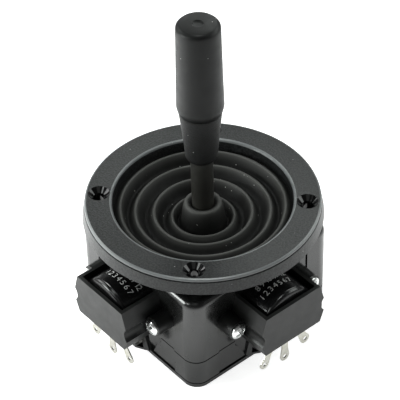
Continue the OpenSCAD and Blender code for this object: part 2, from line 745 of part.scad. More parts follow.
module cover_screw() {
    difference() {
        union() {
            rod(screw_r, bush_in + boss_len / 10, ear_top + 0.2);
            translate([0, 0, ear_top]) rotate_extrude() intersection() {
                square([head_d / 2, head_h]);
                translate([0, head_h - head_d * 0.72]) circle(r = head_d * 0.72, $fn = 96);
            }
        }
        for (turn = [20, 110]) rotate([0, 0, turn])
            translate([-cross_len / 2, -cross_w / 2, ear_top + head_h * 0.45]) cube([cross_len, cross_w, head_h]);
    }
}
module cover_screws() { for (x = [-1, 1]) translate([x * ear_x, 0, 0]) cover_screw(); }

module pot_body_x() { color([0.07, 0.07, 0.08]) on_face(SIDE_X_POT) pot_body(); }
module pot_body_y() { color([0.07, 0.07, 0.08]) on_face(SIDE_Y_POT) pot_body(); }
module pot_terminals_x() { color("gainsboro") on_face(SIDE_X_POT) pot_terminals(); }
module pot_terminals_y() { color("gainsboro") on_face(SIDE_Y_POT) pot_terminals(); }
module pot_rotor_x() { color("ivory") on_face(SIDE_X_POT) pot_rotor(); }
module pot_rotor_y() { color("ivory") on_face(SIDE_Y_POT) pot_rotor(); }
module pot_cover_x() { color([0.25, 0.25, 0.25]) on_face(SIDE_X_POT) pot_cover(); }
module pot_cover_y() { color([0.25, 0.25, 0.25]) on_face(SIDE_Y_POT) pot_cover(); }
module cover_screws_x() { color("silver") on_face(SIDE_X_POT) cover_screws(); }
module cover_screws_y() { color("silver") on_face(SIDE_Y_POT) cover_screws(); }

bezel();
boot();
upper_housing();
lower_housing();
base_plate();
base_screws();
gate_plate();
gate_screws();
bushings_x();
bushings_y();
spring_pins();
gimbal_frame();
gimbal_shafts();
pivot_pin();
centring_spring_x();
bail();
bail_shafts();
centring_spring_y();
lever_shaft();
tail_sleeve();
tail_clip();
grip();
grip_insert();
pot_body_x();
pot_body_y();
pot_terminals_x();
pot_terminals_y();
pot_rotor_x();
pot_rotor_y();
pot_cover_x();
pot_cover_y();
cover_screws_x();
cover_screws_y();
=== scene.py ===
"""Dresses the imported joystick.

Finishes for every part, a moulded rubber boot, a two-part grip, cover screws, plain numbers on the
potentiometers, and the floor, lamps and world.
"""
import json
import math

import bpy
import numpy as np
from mathutils import Matrix, Vector


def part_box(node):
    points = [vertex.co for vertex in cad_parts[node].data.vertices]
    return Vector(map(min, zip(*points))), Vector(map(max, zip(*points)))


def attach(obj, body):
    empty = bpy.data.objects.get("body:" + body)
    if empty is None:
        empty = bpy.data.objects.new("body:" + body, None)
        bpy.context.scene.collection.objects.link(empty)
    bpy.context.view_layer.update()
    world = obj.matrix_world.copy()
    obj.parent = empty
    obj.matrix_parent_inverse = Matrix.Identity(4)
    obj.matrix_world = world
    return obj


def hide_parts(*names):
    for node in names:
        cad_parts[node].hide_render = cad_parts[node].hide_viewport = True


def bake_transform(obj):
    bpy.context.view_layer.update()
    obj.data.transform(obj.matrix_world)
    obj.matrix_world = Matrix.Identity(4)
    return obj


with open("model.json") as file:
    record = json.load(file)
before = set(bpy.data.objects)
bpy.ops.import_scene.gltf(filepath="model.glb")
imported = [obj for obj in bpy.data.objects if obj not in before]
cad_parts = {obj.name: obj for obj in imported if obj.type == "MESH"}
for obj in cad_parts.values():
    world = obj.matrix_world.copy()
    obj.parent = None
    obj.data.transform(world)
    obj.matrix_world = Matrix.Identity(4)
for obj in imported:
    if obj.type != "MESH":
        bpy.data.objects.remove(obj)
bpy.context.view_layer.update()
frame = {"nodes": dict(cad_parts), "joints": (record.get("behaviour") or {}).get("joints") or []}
MM = 0.001

# ---------------------------------------------------------------- places taken from the frame

BEZEL_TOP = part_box("bezel")[1]
BASE_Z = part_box("base_plate")[0].z
PIVOT = Vector(next(j["pos_m"] for j in frame["joints"] if j["name"] == "gimbal_tilt"))
DRUM_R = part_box("pot_body_x")[1].z - PIVOT.z
# Bezel, in mm: its screw holes' distance from the axis along X and along Y, their countersinks' radius, and the
# radii of its two rounded rims, which carry a painted highlight
SINK_AT, SINK_R = 28.0, 4.15
RIM_RADII = (34.8, 44.75)


# ---------------------------------------------------------------- camera

CAMERA_AZIMUTH, CAMERA_ELEVATION, CAMERA_ROLL = 50.87, 41.67, -1.7
CAMERA_DISTANCE = 0.694
# What the camera looks at, in mm to the right of and above the middle of the bezel's top
CAMERA_SIDE, CAMERA_HEIGHT = -1.1, -1.41
SENSOR_MM = 36
LENS_MM = 164.97


def make_camera():
    """Long lens from the front corner, looking down on the bezel and rolled a little to the left."""
    azimuth, elevation, roll = (math.radians(d) for d in (CAMERA_AZIMUTH, CAMERA_ELEVATION, CAMERA_ROLL))
    back = Vector((math.sin(azimuth) * math.cos(elevation), -math.cos(azimuth) * math.cos(elevation),
                   math.sin(elevation)))
    right = Vector((math.cos(azimuth), math.sin(azimuth), 0))
    up = back.cross(right)
    right_rolled = math.cos(roll) * right + math.sin(roll) * up
    up_rolled = -math.sin(roll) * right + math.cos(roll) * up
    side, height = CAMERA_SIDE * MM, CAMERA_HEIGHT * MM
    target = Vector((side * math.cos(azimuth), side * math.sin(azimuth), height + BEZEL_TOP.z))
    data = bpy.data.cameras.new("camera")
    data.sensor_width = SENSOR_MM
    data.lens = LENS_MM
    data.clip_start, data.clip_end = 0.01, 10
    camera = bpy.data.objects.new("camera", data)
    bpy.context.scene.collection.objects.link(camera)
    turn = Matrix((right_rolled, up_rolled, back)).transposed()
    camera.matrix_world = Matrix.Translation(target + back * CAMERA_DISTANCE) @ turn.to_4x4()
    bpy.context.scene.camera = camera


make_camera()


# ---------------------------------------------------------------- materials

class Nodes:
    """A material's node tree, with short calls for the few nodes that the finishes share."""

    def __init__(self, name):
        self.material = bpy.data.materials.new(name)
        self.material.use_nodes = True
        self.tree = self.material.node_tree
        self.shader = self.tree.nodes["Principled BSDF"]
        self.place = self.add("ShaderNodeTexCoord").outputs["Object"]

    def add(self, kind, **values):
        node = self.tree.nodes.new(kind)
        for key, value in values.items():
            setattr(node, key, value)
        return node

    def link(self, source, target):
        self.tree.links.new(source, target)

    def noise(self, size_mm, detail=3.0, roughness=0.55, stretch=None):
        """Noise whose largest bumps are about size_mm across."""
        node = self.add("ShaderNodeTexNoise")
        node.inputs["Scale"].default_value = 1 / (size_mm * MM)
        node.inputs["Detail"].default_value = detail
        node.inputs["Roughness"].default_value = roughness
        place = self.place
        if stretch:
            mapping = self.add("ShaderNodeMapping")
            mapping.inputs["Scale"].default_value = stretch
            self.link(self.place, mapping.inputs["Vector"])
            place = mapping.outputs["Vector"]
        self.link(place, node.inputs["Vector"])
        return node.outputs["Fac"]

    def specks(self, size_mm, share):
        """1 inside a few tiny scattered grains of dust, 0 elsewhere."""
        node = self.add("ShaderNodeTexVoronoi")
        node.inputs["Scale"].default_value = 1 / (size_mm * MM)
        self.link(self.place, node.inputs["Vector"])
        near = self.ramp(node.outputs["Distance"], 1.0, 0.0, (0.10, 0.16))
        pick = self.add("ShaderNodeSeparateColor")
        self.link(node.outputs["Color"], pick.inputs["Color"])
        both = self.add("ShaderNodeMath", operation="MULTIPLY")
        self.link(near, both.inputs[0])
        self.link(self.ramp(pick.outputs[0], 0.0, 1.0, (1 - share, 1.001 - share)), both.inputs[1])
        return both.outputs[0]

    def ramp(self, source, low, high, at=(0.3, 0.7)):
        """Numbers from low to high as source goes through the span at."""
        node = self.add("ShaderNodeMapRange")
        node.inputs["From Min"].default_value, node.inputs["From Max"].default_value = at
        node.inputs["To Min"].default_value, node.inputs["To Max"].default_value = low, high
        self.link(source, node.inputs["Value"])
        return node.outputs["Result"]

    def mix(self, factor, first, second):
        """Colour between first and second."""
        node = self.add("ShaderNodeMix", data_type="RGBA")
        for socket, value in ((node.inputs["A"], first), (node.inputs["B"], second)):
            if isinstance(value, tuple):
                socket.default_value = (*value, 1)
            else:
                self.link(value, socket)
        self.link(factor, node.inputs["Factor"])
        return node.outputs["Result"]

    def rings(self, *radii_mm, half_mm=0.55, above_mm=5.9):
        """1 on narrow rings round the Z axis, above a height, and 0 elsewhere."""
        flat = self.add("ShaderNodeVectorMath", operation="MULTIPLY")
        self.link(self.place, flat.inputs[0])
        flat.inputs[1].default_value = (1 / MM, 1 / MM, 0)
        length = self.add("ShaderNodeVectorMath", operation="LENGTH")
        self.link(flat.outputs["Vector"], length.inputs[0])
        total = None
        for radius in radii_mm:
            off = self.add("ShaderNodeMath", operation="COMPARE")
            self.link(length.outputs["Value"], off.inputs[0])
            off.inputs[1].default_value = radius
            off.inputs[2].default_value = half_mm
            if total:
                both = self.add("ShaderNodeMath", operation="MAXIMUM")
                self.link(total, both.inputs[0])
                self.link(off.outputs[0], both.inputs[1])
                off = both
            total = off.outputs[0]
        split = self.add("ShaderNodeSeparateXYZ")
        self.link(self.place, split.inputs[0])
        height = self.ramp(split.outputs["Z"], 0.0, 1.0, (above_mm * MM, (above_mm + 0.2) * MM))
        mask = self.add("ShaderNodeMath", operation="MULTIPLY")
        self.link(total, mask.inputs[0])
        self.link(height, mask.inputs[1])
        return mask.outputs[0]

    def holes(self, corner_mm, radius_mm):
        """1 inside four round places at the corners of a square about the Z axis, 0 elsewhere."""
        folded = self.add("ShaderNodeVectorMath", operation="ABSOLUTE")
        self.link(self.place, folded.inputs[0])
        flat = self.add("ShaderNodeVectorMath", operation="MULTIPLY")
        self.link(folded.outputs["Vector"], flat.inputs[0])
        flat.inputs[1].default_value = (1 / MM, 1 / MM, 0)
        off = self.add("ShaderNodeVectorMath", operation="DISTANCE")
        self.link(flat.outputs["Vector"], off.inputs[0])
        off.inputs[1].default_value = (corner_mm, corner_mm, 0)
        return self.ramp(off.outputs["Value"], 1.0, 0.0, (radius_mm - 0.05, radius_mm + 0.05))

    def edges(self, low, high, at=(0.52, 0.60)):
        """Numbers that rise along worn outer edges."""
        return self.ramp(self.add("ShaderNodeNewGeometry").outputs["Pointiness"], low, high, at)

    def bump(self, *layers):
        """Chains (height socket, strength, depth in mm) into the shader's normal."""
        normal = None
        for height, strength, depth in layers:
            node = self.add("ShaderNodeBump")
            node.inputs["Strength"].default_value = strength
            node.inputs["Distance"].default_value = depth * MM
            self.link(height, node.inputs["Height"])
            if normal:
                self.link(normal, node.inputs["Normal"])
            normal = node.outputs["Normal"]
        self.link(normal, self.shader.inputs["Normal"])

    def colour(self, socket):
        self.link(socket, self.shader.inputs["Base Color"])

    def rough(self, socket):
        self.link(socket, self.shader.inputs["Roughness"])


# Spacing in mm and colour of the dust on hard parts
DUST_MM = 1.3
DUST = (0.45, 0.45, 0.43)


def shade(colour, amount):
    return tuple(min(1.0, c * amount) for c in colour)


def moulded_plastic(name, colour, roughness, grain_mm, depth_mm, strength=0.5, worn=1.6, specular=0.5,
                    dust=0.0):
    """Textured thermoplastic: grain from the tool, faint blotches, lighter edges and some dust."""
    n = Nodes(name)
    blotch = n.ramp(n.noise(9, 4), 0.0, 1.0)
    base = n.mix(blotch, shade(colour, 0.88), shade(colour, 1.12))
    base = n.mix(n.edges(0.0, 0.7), base, shade(colour, worn))
    if dust:
        base = n.mix(n.specks(DUST_MM, dust), base, DUST)
    n.colour(base)
    n.rough(n.ramp(n.noise(3.5, 5), roughness - 0.05, roughness + 0.06))
    n.bump((n.noise(grain_mm, 2, 0.6), strength, depth_mm), (n.noise(6, 2), 0.08, 0.05))
    n.shader.inputs["Specular IOR Level"].default_value = specular
    return n.material


def bezel_plastic(name, colour):
    """Grained thermoplastic with rims polished by handling and lightened by a painted highlight, and smooth,
    dark countersinks.
    """
    n = Nodes(name)
    grain = n.ramp(n.noise(0.7, 1, 0.6), 0.0, 1.0, (0.38, 0.62))
    base = n.mix(grain, shade(colour, 0.3), shade(colour, 2.2))
    rim_polish_and_highlight = n.rings(*RIM_RADII)
    # painted highlight: the rims' colour turns fourteen times lighter, in place of the light their fillets
    # catch
    base = n.mix(rim_polish_and_highlight, base, shade(colour, 14))
    sinks = n.holes(SINK_AT, SINK_R)
    base = n.mix(n.specks(DUST_MM, 0.015), base, DUST)
    n.colour(n.mix(sinks, base, shade(colour, 0.3)))
    rough = n.add("ShaderNodeMath", operation="SUBTRACT")
    n.link(n.ramp(rim_polish_and_highlight, 0.36, 0.28, (0, 1)), rough.inputs[0])
    n.link(n.ramp(sinks, 0.0, 0.26, (0, 1)), rough.inputs[1])
    n.rough(rough.outputs[0])
    n.link(n.ramp(rim_polish_and_highlight, 0.5, 1.0, (0, 1)), n.shader.inputs["Specular IOR Level"])
    grained = n.add("ShaderNodeMath", operation="MULTIPLY")
    n.link(n.noise(0.6, 1, 0.6), grained.inputs[0])
    n.link(n.ramp(sinks, 1.0, 0.0, (0, 1)), grained.inputs[1])
    n.bump((grained.outputs[0], 0.9, 0.09),)
    return n.material


def rubber(name, colour):
    """Moulded rubber: a painted grey highlight along the fold crests, so darker in the folds, with fine bloom
    and dust.
    """
    n = Nodes(name)
    bloom = n.ramp(n.noise(5, 5, 0.65), 0.0, 1.0, (0.35, 0.75))
    base = n.mix(bloom, shade(colour, 0.55), shade(colour, 1.2))
    crest = n.add("ShaderNodeAttribute", attribute_name="crest").outputs["Fac"]
    # painted highlight: the colour turns nine times lighter along the fold crests, in place of their sheen
    base = n.mix(crest, base, shade(colour, 9))
    n.colour(n.mix(n.specks(1.5, 0.1), base, (0.35, 0.35, 0.33)))
    n.rough(n.ramp(crest, 0.62, 0.5, (0, 1)))
    n.bump((n.noise(0.3, 2), 0.3, 0.03), (n.noise(4, 3), 0.12, 0.08))
    n.shader.inputs["Specular IOR Level"].default_value = 0.2
    return n.material


def metal(name, colour, roughness, grain_mm=0.4, depth_mm=0.01, stretch=None, tint=None):
    """Bare or plated metal with fine scratches and patches of duller surface."""
    n = Nodes(name)
    patch = n.ramp(n.noise(2.2, 5, 0.6), 0.0, 1.0, (0.35, 0.7))
    n.colour(n.mix(patch, colour, tint or shade(colour, 0.8)))
    n.rough(n.ramp(n.noise(1.1, 5), roughness - 0.06, roughness + 0.1))
    n.bump((n.noise(grain_mm, 3, stretch=stretch), 0.35, depth_mm), (n.noise(2.5, 2), 0.1, 0.03))
    n.shader.inputs["Metallic"].default_value = 1.0
    return n.material


def painted_ink(name, colour):
    """Screen-printed ink with a slightly broken cover."""
    n = Nodes(name)
    n.colour(n.mix(n.ramp(n.noise(0.5, 4), 0.0, 1.0, (0.4, 0.7)), colour, shade(colour, 0.72)))
    n.rough(n.ramp(n.noise(0.6, 3), 0.4, 0.6))
    n.bump((n.noise(0.15, 2), 0.2, 0.01),)
    return n.material


FINISHES = {
    "bezel": bezel_plastic("bezel_plastic", (0.011, 0.0116, 0.0118)),
    "body": moulded_plastic("body_plastic", (0.008, 0.0083, 0.008), 0.22, 2.5, 0.015, 0.1, 1.5, 0.7),
    "cover": moulded_plastic("cover_plastic", (0.009, 0.0093, 0.009), 0.36, 0.4, 0.03, 0.3, 1.5, 0.3,
                             dust=0.02),
    "grip": moulded_plastic("grip_plastic", (0.004, 0.0043, 0.0043), 0.42, 0.35, 0.02, 0.3, 1.5, 0.31,
                            dust=0.008),
    "grip_cone": moulded_plastic("grip_cone_plastic", (0.007, 0.0072, 0.0072), 0.46, 0.6, 0.12, 0.8, 1.5,
                                 0.32, dust=0.03),
    "pot": moulded_plastic("pot_plastic", (0.005, 0.005, 0.0052), 0.2, 0.8, 0.01, 0.1, 1.5, 0.5),
    "boot": rubber("boot_rubber", (0.010, 0.010, 0.0095)),
    "zinc": metal("zinc_plate", (0.86, 0.87, 0.86), 0.2),
    "tin": metal("tinned_brass", (0.72, 0.71, 0.66), 0.3, tint=(0.62, 0.6, 0.52)),
    "steel": metal("ground_steel", (0.55, 0.56, 0.57), 0.28, 0.2, 0.006, stretch=(1, 1, 8)),
    "spring": metal("spring_wire", (0.32, 0.32, 0.33), 0.35),
    "dark_steel": moulded_plastic("blackened_steel", (0.022, 0.0215, 0.0185), 0.4, 0.25, 0.008, 0.3),
    "alloy": metal("cast_alloy", (0.56, 0.57, 0.58), 0.5, 0.6, 0.04),
    "bronze": metal("sintered_bronze", (0.55, 0.38, 0.2), 0.5, 0.3, 0.02),
    "brass": metal("turned_brass", (0.72, 0.55, 0.25), 0.3),
    "white_plastic": moulded_plastic("white_plastic", (0.72, 0.72, 0.68), 0.45, 0.5, 0.01, 0.2, worn=1.05),
    "ink": painted_ink("white_ink", (0.78, 0.79, 0.78)),
}

NODE_FINISH = {
    "bezel": "bezel", "boot": "boot", "upper_housing": "body", "lower_housing": "body", "base_plate": "body",
    "base_screws": "zinc", "gate_plate": "zinc", "gate_screws": "steel", "bushings_x": "bronze",
    "bushings_y": "bronze", "spring_pins": "steel", "gimbal_frame": "alloy", "gimbal_shafts": "steel",
    "pivot_pin": "steel", "centring_spring_x": "spring", "bail": "alloy", "bail_shafts": "steel",
    "centring_spring_y": "spring", "lever_shaft": "dark_steel", "tail_sleeve": "white_plastic",
    "tail_clip": "steel", "grip": "grip", "grip_insert": "brass", "pot_body_x": "pot", "pot_body_y": "pot",
    "pot_terminals_x": "tin", "pot_terminals_y": "tin", "pot_rotor_x": "white_plastic",
    "pot_rotor_y": "white_plastic", "pot_cover_x": "cover", "pot_cover_y": "cover",
    "cover_screws_x": "zinc", "cover_screws_y": "zinc",
}
# Edge radius in mm on each kind of visible part, with the least angle in degrees of the edges that get it
EDGE_MM = {"bezel": (0.12, 44.3), "upper_housing": (0.25, 40), "lower_housing": (0.25, 40),
           "base_plate": (0.25, 35), "pot_cover_x": (0.25, 35), "pot_cover_y": (0.25, 35),
           "pot_body_x": (0.2, 35), "pot_body_y": (0.2, 35), "pot_terminals_x": (0.08, 35),
           "pot_terminals_y": (0.08, 35), "base_screws": (0.1, 35)}
# Steepest edge in degrees that still shades as one rounded surface, and the parts where it is another one
SMOOTH_ANGLE = 28
SMOOTH_BELOW = {"bezel": 44.3, "upper_housing": 40}


def dress(node, finish):
    """Gives a CAD node its finish, smooth shading and, where it shows, a small edge radius."""
    piece = frame["nodes"][node]
    piece.data.materials.clear()
    piece.data.materials.append(FINISHES[finish])
    piece.data.shade_smooth()
    piece.data.set_sharp_from_angle(angle=math.radians(SMOOTH_BELOW.get(node, SMOOTH_ANGLE)))
    if node in EDGE_MM:
        width, angle = EDGE_MM[node]
        bevel = piece.modifiers.new("edge", "BEVEL")
        bevel.width = width * MM
        bevel.segments = 2
        bevel.limit_method = "ANGLE"
        bevel.angle_limit = math.radians(angle)
        bevel.harden_normals = True


for node, finish in NODE_FINISH.items():
    dress(node, finish)


# ---------------------------------------------------------------- boot

# [radius, height] in mm of the rubber's upper surface: collar, folds and rim
BOOT_TOP = [(4.3, 3.9), (4.7, 4.35), (5.3, 4.75), (5.9, 4.95), (6.5, 4.9), (7.0, 4.65), (7.35, 4.0),
            (7.75, 2.3), (8.3, -1.4), (8.8, -4.3), (9.4, -5.3), (10.0, -4.9), (10.9, -3.2), (11.3, -2.3),
            (11.8, -1.95), (12.3, -2.3), (12.8, -3.2), (14.1, -4.7), (15.1, -5.0), (16.1, -4.2),
            (17.7, -0.9), (18.15, 0.0), (18.7, 0.3), (19.25, 0.0), (19.7, -0.9), (21.0, -2.7), (22.0, -3.1),
            (23.1, -2.3), (24.8, 0.0), (25.3, 0.85), (25.85, 1.1), (26.4, 0.8), (26.9, 0.0), (28.0, -1.2),
            (28.8, -1.4), (29.5, -0.7), (30.6, 2.2), (31.0, 3.2), (31.5, 3.5), (32.1, 3.2), (33.1, 2.2),
            (33.9, 1.6), (34.7, 1.44), (35.4, 1.42)]
# Radius in mm of each fold's crest, where the rubber gets a painted grey highlight, and half the width of that
# highlight
CRESTS = (6.5, 11.8, 18.7, 25.85, 31.5)
CREST_HIGHLIGHT_HALF = 0.95
RUBBER_MM = 0.9


def smooth_line(points, per_span):
    """Catmull-Rom curve through points."""
    pts = [np.array(p, float) for p in points]
    pts = [2 * pts[0] - pts[1]] + pts + [2 * pts[-1] - pts[-2]]
    out = []
    for i in range(1, len(pts) - 2):
        a, b, c, d = pts[i - 1:i + 3]
        for k in range(per_span):
            t = k / per_span
            out.append(0.5 * (2 * b + (c - a) * t + (2 * a - 5 * b + 4 * c - d) * t * t
                              + (3 * b - a - 3 * c + d) * t ** 3))
    out.append(pts[-2])
    return np.array(out)


def turned(name, profile, segments=180, closed=False):
    """Surface of revolution about Z from a profile of (radius, height) in metres."""
    rings = len(profile)
    angles = np.linspace(0, 2 * math.pi, segments, endpoint=False)
    verts = [(r * math.cos(a), r * math.sin(a), z) for r, z in profile for a in angles]
    faces = []
    spans = rings if closed else rings - 1
    for i in range(spans):
        j = (i + 1) % rings
        for k in range(segments):
            n = (k + 1) % segments
            faces.append((i * segments + k, i * segments + n, j * segments + n, j * segments + k))
    mesh = bpy.data.meshes.new(name)
    mesh.from_pydata(verts, [], faces)
    mesh.validate()
    mesh.shade_smooth()
    piece = bpy.data.objects.new(name, mesh)
    bpy.context.scene.collection.objects.link(piece)
    return piece


def boot_section(top, thickness):
    """Closed section of rubber between the top line and the same line pushed in by thickness."""
    step = np.gradient(top, axis=0)
    normal = np.stack([-step[:, 1], step[:, 0]], 1)
    normal /= np.linalg.norm(normal, axis=1)[:, None]
    under = top - normal * thickness
    return np.concatenate([top, under[::-1]])


# (radius in mm, share of the second body's motion) in each ring
GIVE_INNER = [(6.3, 1.0), (7.2, 0.97), (8.4, 0.72), (9.4, 0.42), (10.6, 0.15), (11.8, 0.0)]
GIVE_OUTER = [(11.8, 1.0), (12.5, 0.88), (13.5, 0.58), (15.1, 0.33), (18.7, 0.24), (22, 0.18), (26, 0.1),
              (31, 0.02), (33, 0.0)]


def radial_blend(piece):
    """Reads the piece's vertex positions and changes nothing."""
    count = len(piece.data.vertices)
    co = np.zeros(count * 3)
    piece.data.vertices.foreach_get("co", co)


def mark_crest_highlights(piece):
    """Stores on each vertex how close it lies to a fold's crest, from 0 to 1, as the mask of the painted crest
    highlight.
    """
    count = len(piece.data.vertices)
    co = np.zeros(count * 3)
    piece.data.vertices.foreach_get("co", co)
    radius = np.hypot(*co.reshape(-1, 3)[:, :2].T) / MM
    near = sum(np.exp(-((radius - crest) / CREST_HIGHLIGHT_HALF) ** 2) for crest in CRESTS)
    mark = piece.data.attributes.new("crest", "FLOAT", "POINT")
    mark.data.foreach_set("value", np.clip(near, 0, 1).astype(np.float32))


def make_boot():
    """Two rings that meet on a crest."""
    line = smooth_line([(r * MM, z * MM) for r, z in BOOT_TOP], 5)
    meet = CRESTS[1] * MM
    at = int(np.argmin(np.abs(line[:, 0] - meet)))
    parts = (("boot_inner", line[:at + 1], "gimbal", "lever", GIVE_INNER),
             ("boot_outer", line[at:], "housing", "gimbal", GIVE_OUTER))
    for name, top, first, second, give in parts:
        piece = turned(name, boot_section(top, RUBBER_MM * MM), closed=True)
        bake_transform(piece)
        radial_blend(piece)
        mark_crest_highlights(piece)
        piece.data.materials.append(FINISHES["boot"])
        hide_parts("boot")


make_boot()


# ---------------------------------------------------------------- grip

# [radius, height above the bezel's underside] in mm of the smooth cap and of the rough cone under its seam
GRIP_CAP = [(0, 87.6), (1.5, 87.62), (1.95, 87.72), (2.2, 88.0), (6.6, 88.0), (7.05, 87.9), (7.75, 87.2),
            (8.0, 86.8), (8.1, 86.2), (8.15, 85), (8.32, 75), (8.58, 63), (8.82, 53), (8.83, 52.2),
            (8.75, 51.4), (8.25, 49.35), (8.15, 49.2), (8.1, 49.15)]
GRIP_CONE = [(8.1, 49.15), (8.04, 48.8), (7.86, 47.0), (7.2, 41), (6.45, 33), (6.15, 29.6), (6.05, 28.3),
             (5.7, 27.5), (5.2, 27.0), (4.35, 27.0), (4.35, 29)]


def make_grip():
    """The pressed-on grip: a satin cap over a coarser moulded cone, with a shallow dimple in its top."""
    for name, outline, finish in (("grip_cap", GRIP_CAP, "grip"), ("grip_cone", GRIP_CONE, "grip_cone")):
        piece = turned(name, [(r * MM, z * MM) for r, z in outline], segments=96)
        piece.data.set_sharp_from_angle(angle=math.radians(35))
        piece.data.materials.append(FINISHES[finish])
        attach(piece, "lever")
        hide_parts("grip")


make_grip()


# ---------------------------------------------------------------- cover screws

HEAD_R, HEAD_H, HEAD_SIDE, SHANK_R = 3.3, 2.0, 0.75, 1.3
HEAD_TURNS = (0.35, 1.1, 0.2, 0.9)


def cross_depth(u, v):
    """Depth in mm of a cross recess at u, v mm from its middle."""
    def arm(across, lengthwise):
        return (np.clip((0.5 - np.abs(across)) / 0.15 + 0.5, 0, 1)
                * np.clip((2.0 - np.abs(lengthwise)) / 0.3 + 0.5, 0, 1))
    return 1.1 * np.maximum(arm(u, v), arm(v, u)) * (1 - 0.1 * np.hypot(u, v))


def make_screw(name, node, outer, along, length, turn):
    """Domed screw with a cross recess whose head's highest point lies at outer."""
    dome = [(r, -(HEAD_H - HEAD_SIDE) * (r / HEAD_R) ** 2.4) for r in np.linspace(0, HEAD_R, 40)]
    profile = dome + [(HEAD_R, -HEAD_H), (SHANK_R, -HEAD_H), (SHANK_R, -length)]
    piece = turned(name, [(r * MM, z * MM) for r, z in profile], segments=120)
    for v in piece.data.vertices:
        x, y = v.co.x / MM, v.co.y / MM
        if v.co.z > -(HEAD_H - HEAD_SIDE / 2) * MM and math.hypot(x, y) < 2.6:
            u = x * math.cos(turn) + y * math.sin(turn)
            w = -x * math.sin(turn) + y * math.cos(turn)
            v.co.z -= float(cross_depth(u, w)) * MM
    piece.data.set_sharp_from_angle(angle=math.radians(45))
    frame_turn = along.to_track_quat("Z", "Y").to_matrix().to_4x4()
    piece.data.transform(Matrix.Translation(outer) @ frame_turn)
    piece.data.materials.append(FINISHES["zinc"])
    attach(piece, "housing")
    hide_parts(node)


def make_cover_screws():
    """Two screws on each potentiometer cover, in the places of the plain ones."""
    turns = iter(HEAD_TURNS)
    for letter, along in (("x", Vector((1, 0, 0))), ("y", Vector((0, -1, 0)))):
        node = "cover_screws_" + letter
        low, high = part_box(node)
        middle = (low + high) / 2
        cross = Vector((0, 0, 1)).cross(along)
        deep = abs((high - low).dot(along))
        spread = abs((high - low).dot(cross)) / 2 - (high.z - low.z) / 2
        for i, side in enumerate((-1, 1)):
            outer = middle + along * (deep / 2) + cross * (side * spread)
            make_screw(f"cover_screw_{letter}{i + 1}", node, outer, along, deep / MM, next(turns))


make_cover_screws()


# ---------------------------------------------------------------- rounded fronts of the potentiometers

DRUM_NOSE = [(13.0, 0.0), (12.95, 0.35), (12.7, 0.8), (12.2, 1.15), (11.4, 1.35), (10.0, 1.42), (0.0, 1.45)]


def make_nose(name, node, along):
    """Moulded, rounded front on a potentiometer's drum; along is the drum's outward axis."""
    low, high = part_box(node)
    end = high.x if along.x > 0 else -low.y
    profile = [(r / 13 * DRUM_R, z * MM - 0.01 * MM) for r, z in DRUM_NOSE]
    piece = turned(name, profile[::-1], segments=96)
    turn = along.to_track_quat("Z", "Y").to_matrix().to_4x4()
    piece.data.transform(Matrix.Translation(along * end + Vector((0, 0, PIVOT.z))) @ turn)
    piece.data.materials.append(FINISHES["pot"])
    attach(piece, "housing")


make_nose("drum_nose_x", "pot_body_x", Vector((1, 0, 0)))
make_nose("drum_nose_y", "pot_body_y", Vector((0, -1, 0)))


# ---------------------------------------------------------------- numbers on the potentiometers

# Digits' height, spacing and height above the drum in mm, and a digit's share of its font size
DIGIT_H, DIGIT_PITCH, DIGIT_LIFT = 2.4, 1.15, 0.05
DIGIT_SHARE = 0.69
ROW_LOW, ROW_HIGH = "1 2 3 4 5 6 7", "8 9 10 11 12"


def number_mesh(text, height):
    """Flat outline of a plain number, centred on its own width, standing on its base line."""
    curve = bpy.data.curves.new("number", "FONT")
    curve.body = text
    curve.size = height / DIGIT_SHARE
    curve.align_x = "CENTER"
    curve.resolution_u = 3
    holder = bpy.data.objects.new("number", curve)
    bpy.context.scene.collection.objects.link(holder)
    bpy.context.view_layer.update()
    mesh = bpy.data.meshes.new_from_object(holder)
    bpy.data.objects.remove(holder)
    return mesh


def print_numbers(name, node, along, rows):
    """Rows of numbers bent over a drum's top, as one piece.

    along is the drum's outward axis, and rows are (text, mm from the drum's end, mm turned round it).
    """
    low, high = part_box(node)
    middle = (low + high) / 2
    middle.z = PIVOT.z
    end = high.x if along.x > 0 else low.y
    across = Vector((0, 0, 1)).cross(along)
    verts, faces = [], []
    for text, inset, turn in rows:
        for i, letter in enumerate(text):
            if letter == " ":
                continue
            mesh = number_mesh(letter, DIGIT_H * MM)
            start = len(verts)
            for v in mesh.vertices:
                angle = (v.co.x + (i - (len(text) - 1) / 2) * DIGIT_PITCH * MM + turn * MM) / DRUM_R
                radius = DRUM_R + DIGIT_LIFT * MM
                out = abs(end) - inset * MM - v.co.y
                verts.append(along * out + across * (math.sin(angle) * radius)
                             + Vector((0, 0, PIVOT.z + math.cos(angle) * radius)))
            faces += [[start + k for k in face.vertices] for face in mesh.polygons]
    mesh = bpy.data.meshes.new(name)
    mesh.from_pydata(verts, [], faces)
    mesh.materials.append(FINISHES["ink"])
    piece = bpy.data.objects.new(name, mesh)
    bpy.context.scene.collection.objects.link(piece)
    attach(piece, "housing")


print_numbers("numbers_x", "pot_body_x", Vector((1, 0, 0)), [(ROW_LOW, 4.2, -1), (ROW_HIGH, 8.2, 0)])
print_numbers("numbers_y", "pot_body_y", Vector((0, -1, 0)), [(ROW_LOW, 4.2, 1), (ROW_HIGH, 8.2, 2)])


# ---------------------------------------------------------------- floor, lamps and world

FLOOR_HALF = 3.0
FLOOR_SEEN = 0.8
# Metres from the object's axis between which the mirrored floor brightens, out of painted shade into a painted
# pool of light, and between which it dims again
FLOOR_NEAR, FLOOR_FAR = (0.055, 0.075), (0.12, 0.17)


